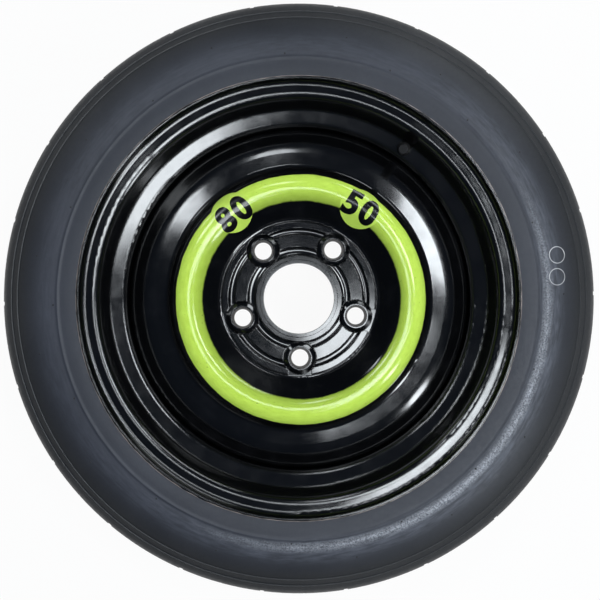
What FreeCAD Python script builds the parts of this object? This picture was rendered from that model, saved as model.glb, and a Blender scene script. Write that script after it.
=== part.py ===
import FreeCAD, Part
import math
import os
import re

import Sketcher
from FreeCAD import Vector

# Temporary-use spare wheel, millimetres and degrees.
# The wheel's axis is Z with the street side up, and the origin is on the axis at the tyre's mid-plane.
# The first bolt hole points to -Y.

SIZES = [
    # tyre, from the size marking 125/80-15
    ("tyre_diameter", 581.0, "outside diameter"),
    ("tyre_section", 125.0, "section width"),
    ("bulge_radius", 228.0, "radius at which the sidewall is widest"),
    ("sidewall_wall", 7.5, "rubber over the sidewall"),
    ("crown_wall", 13.0, "rubber under the tread centre"),
    ("tread_half_width", 30.5, "axle-wise distance from the mid-plane to the tread edge"),
    ("tread_drop", 3.7, "how much lower the tread edge lies than the tread centre"),
    ("shoulder_width", 12.5, "axle-wise width of the rounded shoulder"),
    ("shoulder_drop", 9.5, "how much lower the shoulder's corner lies than the tread centre"),
    ("shoulder_bend", 20.0, "rounding of the shoulder's corner"),
    ("upper_sidewall_drop", 28.5, "how much lower the upper sidewall ends than the tread centre"),
    ("upper_sidewall_inset", 8.5, "how far the upper sidewall ends inside the widest point"),
    ("rim_line_drop", 1.0, "how far below the flange's end the tyre leaves it"),
    ("bead_width", 16.0, "width of the tyre's bead on its seat"),
    ("bead_height", 9.0, "height of the thick bead above its seat"),
    ("bead_taper", 3.0, "lean of the bead's inner face"),
    ("liner_drop", 7.0, "fall of the inner lining from tread centre to its corner"),
    ("liner_reach", 6.0, "how far that corner lies outside the tread edge"),
    ("groove_width", 4.6, "tread groove width"),
    ("groove_depth", 3.2, "tread groove depth"),
    ("groove_pitch", 16.5, "distance between tread grooves"),
    ("notch_count", 22.0, "shoulder notches round each side"),
    ("notch_width", 3.2, "shoulder notch width"),
    ("notch_depth", 3.0, "shoulder notch depth below the tread edge"),
    ("notch_reach", 3.0, "how far the notch runs in from the tread edge"),
    # rim, 15 x 4
    ("bead_diameter", 380.2, "bead seat diameter"),
    ("rim_width", 101.6, "width between the flanges"),
    ("flange_height", 15.9, "flange height above the bead seat"),
    ("rim_gauge", 2.6, "rim sheet"),
    ("heel_radius", 4.0, "bend from bead seat to flange, tyre side"),
    ("curl_radius", 7.0, "outward curl of the flange, tyre side"),
    ("lip_length", 3.2, "straight end of the flange"),
    ("seat_drop", 1.9, "fall of the bead seat towards the well"),
    ("well_depth", 17.5, "well below the bead seat"),
    ("well_edge_front", 20.0, "street-side end of the well"),
    ("well_edge_back", 16.0, "car-side end of the well, behind the mid-plane"),
    ("well_wall_lean", 18.0, "lean of the well walls, degrees"),
    ("seat_bend", 5.0, "bend from bead seat to well wall, tyre side"),
    ("well_bend", 3.0, "bend from well wall to well, tyre side"),
    ("bead_clearance", 0.15, "tyre bead to rim"),
    # disc
    ("disc_gauge", 3.6, "disc sheet"),
    ("wheel_offset", 33.4, "hub face to mid-plane"),
    ("skirt_clearance", 0.05, "disc skirt to rim well"),
    ("skirt_end", 8.0, "car-side end of the skirt, behind the mid-plane"),
    ("skirt_top", 16.0, "height of the skirt's theoretical corner"),
    ("skirt_bend", 12.0, "bend at the top of the skirt"),
    ("dome_radius", 150.0, "radius of the turn in the outer dish"),
    ("dome_height", 25.5, "height of the turn in the outer dish"),
    ("dome_bend", 40.0, "bend of the outer dish"),
    ("valley_radius", 126.0, "radius of the valley outside the crest"),
    ("valley_height", 28.0, "height of the valley"),
    ("valley_bend", 8.0, "bend of the valley"),
    ("crest_outer", 117.0, "outer corner of the crest ring"),
    ("crest_inner", 98.0, "inner corner of the crest ring"),
    ("crest_height", 57.5, "height of the crest ring"),
    ("crest_bend", 16.0, "bend of the crest ring, where its width allows that"),
    ("crest_flat", 0.4, "least flat left between the crest's two bends"),
    ("hub_flat_radius", 76.0, "theoretical corner between hub face and crest wall"),
    ("hub_bend", 4.0, "bend between hub face and crest wall"),
    ("bore_diameter", 67.1, "centre bore"),
    ("collar_height", 6.0, "collar round the bore above the hub face"),
    ("collar_bend", 2.0, "bend at the collar's foot"),
    ("step_outer", 41.5, "outer radius of the raised ring round the collar"),
    ("step_height", 1.8, "height of the raised ring"),
    ("pad_inner", 49.5, "inner radius of the stamped pads"),
    ("pad_outer", 61.0, "outer radius of the stamped pads"),
    ("pad_height", 1.8, "height of the stamped pads"),
    ("band_inner", 67.5, "inner radius of the outer bands"),
    ("band_outer", 73.4, "outer radius of the outer bands"),
    ("band_height", 2.4, "height of the outer bands"),
    ("band_gap", 17.6, "angle between two bands, over each bolt, degrees"),
    ("stamp_slope", 1.6, "run of the stamped edges"),
    ("stamp_bend", 0.8, "bend along the top of the stamped edges"),
    # bolts
    ("bolt_circle", 114.3, "bolt circle diameter"),
    ("bolt_count", 5.0, "bolt holes"),
    ("bolt_hole", 16.4, "bolt hole diameter"),
    ("seat_mouth", 20.8, "mouth diameter of the conical nut seat"),
    ("seat_angle", 60.0, "included angle of the nut seat, degrees"),
    ("seat_height", 3.0, "height of the seat's lip above the hub face"),
    ("seat_lip", 1.3, "width of the seat's lip"),
    ("boss_diameter", 32.0, "foot diameter of the bolt boss"),
    # welds
    ("weld_count", 4.0, "weld runs"),
    ("weld_leg", 3.4, "leg of the fillet weld"),
    ("weld_crown", 0.5, "bulge of the weld's face"),
    ("weld_span", 52.0, "angle of one weld run, degrees"),
    # labels
    ("label_diameter", 40.0, "label diameter, measured round the crest"),
    ("label_depth", 35.6, "label size seen from the front, across the crest"),
    ("label_radius", 101.8, "distance of the label centres from the axis"),
    ("label_thickness", 0.2, "label film"),
    ("label_clearance", 0.05, "glue under the label"),
    ("label_left_angle", 127.0, "direction of the left label, degrees"),
    ("label_right_angle", 54.5, "direction of the right label, degrees"),
    # valve, sizes along its own axis from the rim's street-side face
    ("valve_angle", 54.0, "direction of the valve, degrees"),
    ("valve_hole", 11.5, "valve hole diameter"),
    ("valve_fit", 0.1, "rubber to rim and rubber to stem"),
    ("rubber_flange", 13.0, "rubber diameter on the rim"),
    ("rubber_flange_height", 1.6, "height of the rubber flange"),
    ("rubber_neck", 11.6, "rubber diameter above the flange"),
    ("rubber_tip", 10.2, "rubber diameter at its end"),
    ("rubber_length", 26.0, "rubber above the rim"),
    ("bulb_diameter", 17.0, "rubber bulb behind the rim"),
    ("bulb_length", 9.0, "length of the bulb behind the rim"),
    ("bulb_foot", 13.0, "bulb diameter at its end"),
    ("rubber_rounding", 1.2, "rounding of the rubber's edges"),
    ("stem_length", 33.0, "stem end above the rim"),
    ("stem_thread", 7.7, "stem thread diameter"),
    ("stem_shank", 6.4, "stem diameter inside the rubber"),
    ("stem_foot", 8.6, "stem foot diameter"),
    ("stem_foot_height", 1.6, "stem foot height"),
    ("stem_bore", 5.4, "stem bore round the core's plug"),
    ("stem_throat", 4.2, "stem bore below the core's seal"),
    ("cap_diameter", 9.8, "cap diameter at its mouth"),
    ("cap_top_diameter", 9.0, "cap diameter at its top"),
    ("cap_clearance", 0.25, "cap to stem, cap to rubber and cap to seal"),
    ("cap_roof", 1.6, "cap roof thickness"),
    ("cap_rounding", 0.9, "rounding of the cap's top edge"),
    ("seal_thickness", 1.2, "seal disc in the cap"),
    ("flute_count", 12.0, "grip flutes round the cap"),
    ("flute_width", 1.2, "grip flute width"),
    ("flute_depth", 0.35, "grip flute depth"),
    # valve core
    ("core_clearance", 0.1, "core pieces to stem and to each other"),
    ("core_top", 2.6, "plug top below the stem end"),
    ("plug_length", 5.0, "plug length"),
    ("plug_head", 2.6, "plug head width across its flats"),
    ("plug_head_length", 1.9, "length of the flattened plug head"),
    ("gasket_length", 1.5, "sealing ring length"),
    ("sleeve_length", 4.8, "sleeve length"),
    ("sleeve_wall", 0.6, "sleeve wall"),
    ("pin_diameter", 1.0, "pin diameter"),
    ("pin_slide", 0.2, "pin to plug and sleeve"),
    ("pin_sunk", 0.5, "pin tip below the stem end"),
    ("pin_stop", 0.9, "height of the pin's spring stop"),
    ("cup_diameter", 3.5, "cup diameter"),
    ("cup_wall", 0.35, "cup wall"),
    ("cup_height", 1.8, "cup height"),
    ("washer_rise", 0.5, "washer above the cup's rim"),
    ("spring_wire", 0.25, "spring wire diameter"),
    ("spring_turns", 4.0, "spring turns"),
]

doc = FreeCAD.newDocument("SpareWheel")
sheet = doc.addObject("Spreadsheet::Sheet", "Sizes")
for row, (alias, number, note) in enumerate(SIZES, start=1):
    sheet.set(f"A{row}", alias)
    sheet.set(f"B{row}", str(number))
    sheet.set(f"C{row}", note)
    sheet.setAlias(f"B{row}", alias)
doc.recompute()

ALIASES = re.compile(r"\b(" + "|".join(alias for alias, _, _ in SIZES) + r")\b")
UPRIGHT = FreeCAD.Placement(Vector(0, 0, 0), FreeCAD.Rotation(Vector(1, 0, 0), 90))
Z_AXIS = Vector(0, 0, 1)

# Places that several pieces share, as formulas on the sheet.
TYRE_RADIUS = "tyre_diameter / 2"
BEAD_RADIUS = "bead_diameter / 2"
FLANGE_RADIUS = "(bead_diameter / 2 + flange_height)"
FLANGE_PLANE = "rim_width / 2"
WELL_RADIUS = "(bead_diameter / 2 - well_depth)"
SEAT_END = "(bead_diameter / 2 - seat_drop)"
WALL_RISE = "((well_depth - seat_drop) * tan(well_wall_lean * 1 deg))"
SKIRT_RADIUS = "(bead_diameter / 2 - well_depth - rim_gauge - skirt_clearance)"
HUB_FRONT = "(wheel_offset + disc_gauge)"
STAMP_ROOT = f"({HUB_FRONT} - disc_gauge / 2)"
CREST_RISE = f"atan2(crest_height - {HUB_FRONT}; crest_inner - hub_flat_radius)"
CREST_FALL = "atan2(crest_height - valley_height; valley_radius - crest_outer)"
CREST_ROOM = f"(crest_outer - crest_inner - crest_flat) / (tan({CREST_RISE} / 2) + tan({CREST_FALL} / 2))"
CREST_BEND = f"min(crest_bend; {CREST_ROOM})"
SECTION_HALF = "tyre_section / 2"
SHOULDER_EDGE = "(tread_half_width + shoulder_width)"
BULB_END = "-(rim_gauge + bulb_length)"
STEM_SHOULDER = "(rubber_length + cap_clearance)"
PLUG_TOP = "(stem_length - core_top)"
PLUG_FOOT = "(stem_length - core_top - plug_length)"
GASKET_FOOT = "(stem_length - core_top - plug_length - core_clearance - gasket_length)"
SLEEVE_TOP = "(stem_length - core_top - plug_length - gasket_length - 2 * core_clearance)"
SLEEVE_FOOT = f"({SLEEVE_TOP} - sleeve_length)"
SLEEVE_RADIUS = "(stem_throat / 2 - core_clearance)"
SLEEVE_BORE = "(stem_throat / 2 - core_clearance - sleeve_wall)"
PIN_HOLE = "(pin_diameter / 2 + pin_slide)"
WASHER_TOP = f"({SLEEVE_FOOT} - core_clearance)"
CUP_RIM = f"({SLEEVE_FOOT} - core_clearance - washer_rise)"
PIN_STOP_TOP = f"({PLUG_FOOT} - core_clearance)"
SPRING_FOOT = f"({SLEEVE_FOOT} + sleeve_wall + core_clearance)"
SPRING_TOP = f"({PIN_STOP_TOP} - pin_stop - core_clearance)"
CAP_ROOF_FOOT = "(stem_length + 2 * cap_clearance + seal_thickness)"


def scoped(formula):
    """Name the sheet in front of every size in a formula."""
    return ALIASES.sub(r"Sizes.\1", str(formula))


def value(formula):
    """The present number of a formula."""
    answer = sheet.evalExpression(str(formula))
    return float(getattr(answer, "Value", answer))


def bind(item, prop, formula):
    item.setExpression(prop, scoped(formula))


def corner(across, up, bend=None, via=None):
    """One corner of an outline: its place, its bend radius, or a point of the arc that leaves it."""
    return {"across": across, "up": up, "bend": bend, "via": via}


def flipped(corners):
    """The same corners mirrored to the other side of the mid-plane, in the opposite order.

    An arc belongs to the corner it leaves, so it moves to the corner that is now first.
    """
    turned = []
    for index in range(len(corners) - 1, -1, -1):
        arc = corners[index - 1]["via"] if index else None
        via = (arc[0], f"-({arc[1]})") if arc else None
        old = corners[index]
        turned.append(corner(old["across"], f"-({old['up']})", old["bend"], via))
    return turned


class Outline:
    """Draws corners into a sketch and ties each coordinate, bend and arc to the sheet."""

    def __init__(self, sketch, corners, closed=True):
        self.sketch = sketch
        self.corners = corners
        self.closed = closed
        self.places = [self.point(c["across"], c["up"]) for c in corners]
        self.constraints = []
        self.formulas = []

    @staticmethod
    def point(across, up):
        return Vector(value(across), value(up), 0)

    def bend(self, index):
        """Start, middle and end of the arc that rounds one corner."""
        here = self.places[index]
        back = (self.places[index - 1] - here).normalize()
        ahead = (self.places[(index + 1) % len(self.places)] - here).normalize()
        radius = value(self.corners[index]["bend"])
        half = back.getAngle(ahead) / 2
        inward = (back + ahead).normalize()
        run = radius / math.tan(half)
        middle = here + inward * (radius / math.sin(half) - radius)
        return here + back * run, middle, here + ahead * run

    def end_at(self, geometry, place):
        """Which end of a line or arc lies at a place."""
        first = self.sketch.getPoint(geometry, 1).distanceToPoint(place)
        second = self.sketch.getPoint(geometry, 2).distanceToPoint(place)
        return 1 if first < second else 2

    def tie(self, kind, *numbers):
        self.constraints.append(Sketcher.Constraint(kind, *numbers))

    def tie_size(self, kind, formula, *numbers):
        self.formulas.append((len(self.constraints), formula))
        self.tie(kind, *numbers, value(formula))

    def tie_place(self, geometry, end, across, up):
        self.tie_size("DistanceX", across, -1, 1, geometry, end)
        self.tie_size("DistanceY", up, -1, 1, geometry, end)

    def guide(self, across, up):
        """A construction point that lies at its own formulas."""
        geometry = self.sketch.addGeometry(Part.Point(self.point(across, up)), True)
        self.tie_place(geometry, 1, across, up)
        return geometry

    def draw(self):
        count = len(self.corners)
        bends = {i: self.bend(i) for i, c in enumerate(self.corners) if c["bend"]}
        edges = {}
        for i in range(count if self.closed else count - 1):
            after = (i + 1) % count
            start = bends[i][2] if i in bends else self.places[i]
            end = bends[after][0] if after in bends else self.places[after]
            via = self.corners[i]["via"]
            shape = Part.Arc(start, self.point(*via), end) if via else Part.LineSegment(start, end)
            edges[i] = (self.sketch.addGeometry(shape), start, end)
            if via:
                self.tie("PointOnObject", self.guide(*via), 1, edges[i][0])
        for i in range(count):
            self.join(i, edges.get((i - 1) % count), edges.get(i), bends.get(i))
        first = self.sketch.ConstraintCount
        self.sketch.addConstraint(self.constraints)
        for index, formula in self.formulas:
            bind(self.sketch, f"Constraints[{first + index}]", formula)

    def join(self, index, before, after, bend):
        """Tie the edges that meet at one corner to each other and to the corner's place."""
        here = self.corners[index]
        if bend:
            arc = self.sketch.addGeometry(Part.Arc(*bend))
            point = self.guide(here["across"], here["up"])
            self.tie("Tangent", before[0], self.end_at(before[0], bend[0]), arc, self.end_at(arc, bend[0]))
            self.tie("Tangent", after[0], self.end_at(after[0], bend[2]), arc, self.end_at(arc, bend[2]))
            self.tie("PointOnObject", point, 1, before[0])
            self.tie("PointOnObject", point, 1, after[0])
            self.tie_size("Radius", here["bend"], arc)
            return
        place = self.places[index]
        if before and after:
            self.tie("Coincident", before[0], self.end_at(before[0], place), after[0], self.end_at(after[0], place))
        edge = after or before
        self.tie_place(edge[0], self.end_at(edge[0], place), here["across"], here["up"])


def plane_of(body, role):
    """One of the body's own origin planes or axes."""
    return next(f for f in body.Origin.OriginFeatures if f.Role == role)


def new_body(name):
    body = doc.addObject("PartDesign::Body", name)
    body.Label = name
    return body


def body_sketch(body, name, outlines, role="XZ_Plane"):
    """A sketch on an origin plane of a body, with one or more closed outlines."""
    sketch = body.newObject("Sketcher::SketchObject", name)
    sketch.AttachmentSupport = [(plane_of(body, role), "")]
    sketch.MapMode = "FlatFace"
    doc.recompute()
    for corners in outlines:
        Outline(sketch, corners).draw()
    doc.recompute()
    return sketch


def turned(body, name, outlines, kind="PartDesign::Revolution"):
    """Outlines turned once round the body's Z axis, added or cut."""
    feature = body.newObject(kind, name)
    feature.Profile = body_sketch(body, f"{name}_outline", outlines)
    feature.ReferenceAxis = (plane_of(body, "Z_Axis"), [""])
    feature.Angle = 360
    doc.recompute()
    return feature


def polar(body, name, originals, count_formula):
    """Repeat features round the body's Z axis."""
    pattern = body.newObject("PartDesign::PolarPattern", name)
    pattern.Originals = originals
    pattern.Axis = (plane_of(body, "Z_Axis"), [""])
    pattern.Angle = 360
    body.Tip = pattern
    bind(pattern, "Occurrences", count_formula)
    doc.recompute()
    return pattern


def box_outline(left, right, low, high):
    return [corner(left, low), corner(right, low), corner(right, high), corner(left, high)]


def sheet_ring(name, corners, gauge_formula):
    """A pressed sheet of one gauge: an open line, thickened and turned round the wheel's axis."""
    line = doc.addObject("Sketcher::SketchObject", f"{name}_line")
    line.Placement = UPRIGHT
    Outline(line, corners, closed=False).draw()
    doc.recompute()
    section = doc.addObject("Part::Offset2D", f"{name}_section")
    section.Source = line
    section.Mode = "Skin"
    section.Join = "Intersection"
    section.Fill = True
    bind(section, "Value", gauge_formula)
    return line, spun(f"{name}_ring", section)


def spun(name, section, angle_formula="360"):
    ring = doc.addObject("Part::Revolution", name)
    ring.Source = section
    ring.Axis = Z_AXIS
    ring.Base = Vector(0, 0, 0)
    ring.Solid = True
    bind(ring, "Angle", angle_formula)
    doc.recompute()
    return ring


def tyre_outline():
    """Street-side half from bead toe to tread edge, its mirror, then the lining back to the start."""
    seat = f"{BEAD_RADIUS} + bead_clearance"
    face = f"{FLANGE_PLANE} - bead_clearance"
    lip = f"{FLANGE_RADIUS} + bead_clearance"
    rim_line = f"{FLANGE_PLANE} + curl_radius + lip_length - rim_line_drop"
    outer = [
        corner(seat, f"{face} - bead_width"),
        corner(seat, face, bend="heel_radius"),
        corner(lip, face, bend="curl_radius + bead_clearance"),
        corner(lip, rim_line, via=("bulge_radius", SECTION_HALF)),
        corner(f"{TYRE_RADIUS} - upper_sidewall_drop", f"{SECTION_HALF} - upper_sidewall_inset"),
        corner(f"{TYRE_RADIUS} - shoulder_drop", SHOULDER_EDGE, bend="shoulder_bend"),
        corner(f"{TYRE_RADIUS} - tread_drop", "tread_half_width", via=(TYRE_RADIUS, "0")),
    ]
    bulge_inside = f"-({SECTION_HALF} - sidewall_wall)"
    lining = [
        corner(f"{BEAD_RADIUS} + bead_height", f"-({face} - bead_width + bead_taper)",
               via=("bulge_radius", bulge_inside)),
        corner(f"{TYRE_RADIUS} - crown_wall - liner_drop", "-(tread_half_width + liner_reach)",
               via=(f"{TYRE_RADIUS} - crown_wall", "0")),
    ]
    return outer + flipped(outer) + lining + flipped(lining)


def make_tyre():
    body = new_body("tyre")
    turned(body, "tyre_carcass", [tyre_outline()])
    grooves = []
    for steps in (-1.5, -0.5, 0.5, 1.5):
        middle = f"{steps} * groove_pitch"
        floor = f"{TYRE_RADIUS} - groove_depth - tread_drop * ({middle} / tread_half_width) ^ 2"
        low = f"{middle} - groove_width / 2"
        high = f"{middle} + groove_width / 2"
        grooves.append(box_outline(floor, f"{TYRE_RADIUS} + groove_depth", low, high))
    turned(body, "tread_grooves", grooves, "PartDesign::Groove")
    notch = [
        corner(f"{TYRE_RADIUS} - tread_drop - notch_depth", "tread_half_width - notch_reach"),
        corner(f"{TYRE_RADIUS} + notch_depth", "tread_half_width - notch_reach"),
        corner(f"{TYRE_RADIUS} + notch_depth", SHOULDER_EDGE),
        corner(f"{TYRE_RADIUS} - tread_drop - notch_depth", SHOULDER_EDGE),
    ]
    cut = pocket(body, "shoulder_notch", [notch, flipped(notch)], "notch_width")
    polar(body, "shoulder_notches", [cut], "notch_count")
    return body


def rim_line():
    """Tyre side of the rim sheet, from the street-side lip to the car-side lip."""
    def half(edge):
        return [
            corner(FLANGE_RADIUS, f"{FLANGE_PLANE} + curl_radius + lip_length"),
            corner(FLANGE_RADIUS, FLANGE_PLANE, bend="curl_radius"),
            corner(BEAD_RADIUS, FLANGE_PLANE, bend="heel_radius"),
            corner(SEAT_END, f"{edge} + {WALL_RISE}", bend="seat_bend"),
            corner(WELL_RADIUS, edge, bend="well_bend"),
        ]
    return half("well_edge_front") + flipped(half("well_edge_back"))


def make_rim(valve_seat):
    _, ring = sheet_ring("rim", rim_line(), "-rim_gauge")
    hole = doc.addObject("Sketcher::SketchObject", "valve_hole_outline")
    bind(hole, "Placement", f"{valve_seat.Name}.Placement")
    add_circle(hole, "0", "0", "valve_hole / 2")
    drill = doc.addObject("Part::Extrusion", "valve_hole_drill")
    drill.Base = hole
    drill.DirMode = "Normal"
    drill.Solid = True
    drill.Symmetric = True
    bind(drill, "LengthFwd", "2 * valve_hole")
    rim = doc.addObject("Part::Cut", "rim")
    rim.Base = ring
    rim.Tool = drill
    rim.Label = "rim"
    doc.recompute()
    return rim


def disc_line():
    """Street side of the disc sheet, from the bore collar to the end of the skirt."""
    collar = "bore_diameter / 2 + disc_gauge"
    return [
        corner(collar, f"{HUB_FRONT} + collar_height"),
        corner(collar, HUB_FRONT, bend="collar_bend"),
        corner("hub_flat_radius", HUB_FRONT, bend="hub_bend"),
        corner("crest_inner", "crest_height", bend=CREST_BEND),
        corner("crest_outer", "crest_height", bend=CREST_BEND),
        corner("valley_radius", "valley_height", bend="valley_bend"),
        corner("dome_radius", "dome_height", bend="dome_bend"),
        corner(SKIRT_RADIUS, "skirt_top", bend="skirt_bend"),
        corner(SKIRT_RADIUS, "-skirt_end"),
    ]


def stamped_ring(inner, outer, height):
    """Section of a flat-topped ring stamped up from the hub face, sunk half a gauge into it."""
    top = f"{HUB_FRONT} + {height}"
    return [
        corner(f"{inner} - stamp_slope", STAMP_ROOT),
        corner(f"{outer} + stamp_slope", STAMP_ROOT),
        corner(f"{outer} + stamp_slope", HUB_FRONT),
        corner(outer, top, bend="stamp_bend"),
        corner(inner, top, bend="stamp_bend"),
        corner(f"{inner} - stamp_slope", HUB_FRONT),
    ]


def collar_step():
    """Section of the raised ring round the collar, joined to the collar's wall."""
    wall = "bore_diameter / 2 + disc_gauge / 2"
    top = f"{HUB_FRONT} + step_height"
    return [
        corner(wall, HUB_FRONT),
        corner("bore_diameter / 2 + disc_gauge + collar_bend", STAMP_ROOT),
        corner("step_outer + stamp_slope", STAMP_ROOT),
        corner("step_outer + stamp_slope", HUB_FRONT),
        corner("step_outer", top, bend="stamp_bend"),
        corner(wall, top),
    ]


def make_bands(body):
    """Flat-topped band segments at the edge of the hub face, each centred between two bolts."""
    band = turned(body, "hub_band", [stamped_ring("band_inner", "band_outer", "band_height")])
    facing = "create(<<rotation>>; create(<<vector>>; 0; 1; 0); 180 / bolt_count - 90)"
    bind(band.Profile[0], "AttachmentOffset", f"create(<<placement>>; create(<<vector>>; 0; 0; 0); {facing})")
    band.Midplane = True
    bind(band, "Angle", "360 / bolt_count - band_gap")
    polar(body, "hub_bands", [band], "bolt_count")


def bolt_seat():
    """Section of one bolt boss with its conical nut seat, on the side nearer to the wheel's axis."""
    def out(radius):
        return f"{radius} - bolt_circle / 2"
    top = f"{HUB_FRONT} + seat_height"
    cone = "(seat_mouth - bolt_hole) / 2 / tan(seat_angle / 2 * 1 deg)"
    return [
        corner(out("bolt_hole / 2"), "wheel_offset"),
        corner(out("boss_diameter / 2"), "wheel_offset"),
        corner(out("boss_diameter / 2"), HUB_FRONT),
        corner(out("seat_mouth / 2 + seat_lip"), top),
        corner(out("seat_mouth / 2"), top),
        corner(out("bolt_hole / 2"), f"{top} - {cone}"),
    ]


def make_disc(ring):
    body = new_body("wheel_disc")
    body.BaseFeature = ring
    doc.recompute()
    turned(body, "hub_stamping", [stamped_ring("pad_inner", "pad_outer", "pad_height"), collar_step()])
    make_bands(body)
    outline = body.newObject("Sketcher::SketchObject", "boss_outline")
    outline.AttachmentSupport = [(plane_of(body, "XY_Plane"), "")]
    outline.MapMode = "FlatFace"
    add_circle(outline, "0", "-bolt_circle / 2", "boss_diameter / 2")
    clearing = body.newObject("PartDesign::Pocket", "boss_clearing")
    clearing.Profile = outline
    clearing.Type = "ThroughAll"
    clearing.Midplane = True
    doc.recompute()
    section = body_sketch(body, "bolt_seat_outline", [bolt_seat()], "YZ_Plane")
    axis = section.addGeometry(Part.LineSegment(Vector(value("-bolt_circle / 2"), 0, 0),
                                                Vector(value("-bolt_circle / 2"), value(HUB_FRONT), 0)), True)
    section.addConstraint(Sketcher.Constraint("Vertical", axis))
    place = section.addConstraint(Sketcher.Constraint("DistanceX", -1, 1, axis, 1, value("-bolt_circle / 2")))
    bind(section, f"Constraints[{place}]", "-bolt_circle / 2")
    seat = body.newObject("PartDesign::Revolution", "bolt_seat")
    seat.Profile = section
    seat.ReferenceAxis = (section, ["Axis0"])
    seat.Angle = 360
    doc.recompute()
    polar(body, "bolt_seats", [clearing, seat], "bolt_count")
    return body


def make_welds():
    """Short weld runs in the corner between the skirt's end and the rim well."""
    body = new_body("weld_beads")
    body.AllowCompound = True
    wall = f"{SKIRT_RADIUS}"
    end = "-(skirt_end + skirt_clearance)"
    middle = (f"{wall} - weld_leg / 2 - weld_crown", f"{end} - weld_leg / 2 - weld_crown")
    section = [
        corner(wall, end),
        corner(f"{wall} - weld_leg", end, via=middle),
        corner(wall, f"{end} - weld_leg"),
    ]
    run = turned(body, "weld_run", [section])
    bind(run, "Angle", "weld_span")
    polar(body, "weld_runs", [run], "weld_count")
    return body


def label_skin(line):
    """A film that follows the disc's street side, a glue's thickness above it."""
    glue = doc.addObject("Part::Offset2D", "label_glue_line")
    glue.Source = line
    glue.Mode = "Skin"
    glue.Join = "Intersection"
    bind(glue, "Value", "label_clearance")
    film = doc.addObject("Part::Offset2D", "label_film")
    film.Source = glue
    film.Mode = "Skin"
    film.Join = "Intersection"
    film.Fill = True
    bind(film, "Value", "label_thickness")
    return spun("label_film_ring", film)


def make_label(name, skin, angle):
    """A round label cut from the film; it looks oval from the front because the crest is curved."""
    oval = doc.addObject("Part::Ellipse", f"{name}_outline")
    bind(oval, "MajorRadius", "label_diameter / 2")
    bind(oval, "MinorRadius", "label_depth / 2")
    along = f"create(<<vector>>; label_radius * cos({angle} * 1 deg); label_radius * sin({angle} * 1 deg); 0)"
    across = f"create(<<rotation>>; create(<<vector>>; 0; 0; 1); {angle} + 90)"
    bind(oval, "Placement", f"create(<<placement>>; {along}; {across})")
    punch = doc.addObject("Part::Extrusion", f"{name}_punch")
    punch.Base = oval
    punch.DirMode = "Custom"
    punch.Dir = Z_AXIS
    punch.Solid = True
    bind(punch, "LengthFwd", "2 * crest_height")
    label = doc.addObject("Part::Common", name)
    label.Base = skin
    label.Tool = punch
    label.Label = name
    doc.recompute()
    return label


def make_valve_seat():
    """The valve's own frame: on the street side of the well wall, its Z axis square to that wall."""
    middle = f"(({SEAT_END} + {WELL_RADIUS}) / 2 - rim_gauge * sin(well_wall_lean * 1 deg))"
    height = f"(well_edge_front + {WALL_RISE} / 2 + rim_gauge * cos(well_wall_lean * 1 deg))"
    turn = "valve_angle * 1 deg"
    place = f"create(<<vector>>; {middle} * cos({turn}); {middle} * sin({turn}); {height})"
    lean = f"create(<<rotation>>; create(<<vector>>; sin({turn}); -cos({turn}); 0); well_wall_lean)"
    seat = doc.addObject("App::Placement", "ValveSeat")
    bind(seat, "Placement", f"create(<<placement>>; {place}; {lean})")
    doc.recompute()
    return seat


def valve_piece(name, outline, valve_seat):
    """A turned piece of the valve, placed in the valve's frame."""
    body = new_body(name)
    turned(body, f"{name}_turned", [outline])
    bind(body, "Placement", f"{valve_seat.Name}.Placement")
    doc.recompute()
    return body


def rubber_outline():
    back = "-(rim_gauge + valve_fit)"
    neck = "valve_hole / 2 - valve_fit"
    shank = "stem_shank / 2 + valve_fit"
    foot = "stem_foot / 2 + valve_fit"
    foot_top = f"{BULB_END} + stem_foot_height + valve_fit"
    return [
        corner(foot, BULB_END),
        corner("bulb_foot / 2", BULB_END, bend="rubber_rounding"),
        corner("bulb_diameter / 2", "-(rim_gauge + bulb_length / 2)", bend="rubber_rounding"),
        corner("rubber_flange / 2", back),
        corner(neck, back),
        corner(neck, "valve_fit"),
        corner("rubber_flange / 2", "valve_fit"),
        corner("rubber_flange / 2", "rubber_flange_height", bend="rubber_rounding / 2"),
        corner("rubber_neck / 2", "2 * rubber_flange_height", bend="rubber_rounding"),
        corner("rubber_tip / 2", "rubber_length", bend="rubber_rounding"),
        corner(shank, "rubber_length"),
        corner(shank, foot_top),
        corner(foot, foot_top),
    ]


def stem_outline():
    foot_top = f"{BULB_END} + stem_foot_height"
    return [
        corner("stem_throat / 2", BULB_END),
        corner("stem_foot / 2", BULB_END),
        corner("stem_foot / 2", foot_top),
        corner("stem_shank / 2", foot_top),
        corner("stem_shank / 2", STEM_SHOULDER),
        corner("stem_thread / 2", STEM_SHOULDER),
        corner("stem_thread / 2", "stem_length"),
        corner("stem_bore / 2", "stem_length"),
        corner("stem_bore / 2", f"{PLUG_FOOT} - core_clearance"),
        corner("stem_throat / 2", GASKET_FOOT),
    ]


def make_cap(valve_seat):
    bore = "stem_thread / 2 + cap_clearance"
    top = f"{CAP_ROOF_FOOT} + cap_roof"
    cap = valve_piece("valve_cap", [
        corner(bore, STEM_SHOULDER),
        corner("cap_diameter / 2", STEM_SHOULDER),
        corner("cap_top_diameter / 2", top, bend="cap_rounding"),
        corner("0", top),
        corner("0", CAP_ROOF_FOOT),
        corner(bore, CAP_ROOF_FOOT),
    ], valve_seat)
    flute = box_outline("cap_diameter / 2 - flute_depth", "cap_diameter / 2 + flute_depth",
                        "-flute_width / 2", "flute_width / 2")
    cut = pocket(cap, "grip_flute", [flute], f"2 * ({top})", "XY_Plane")
    polar(cap, "grip_flutes", [cut], "flute_count")
    return cap


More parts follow.
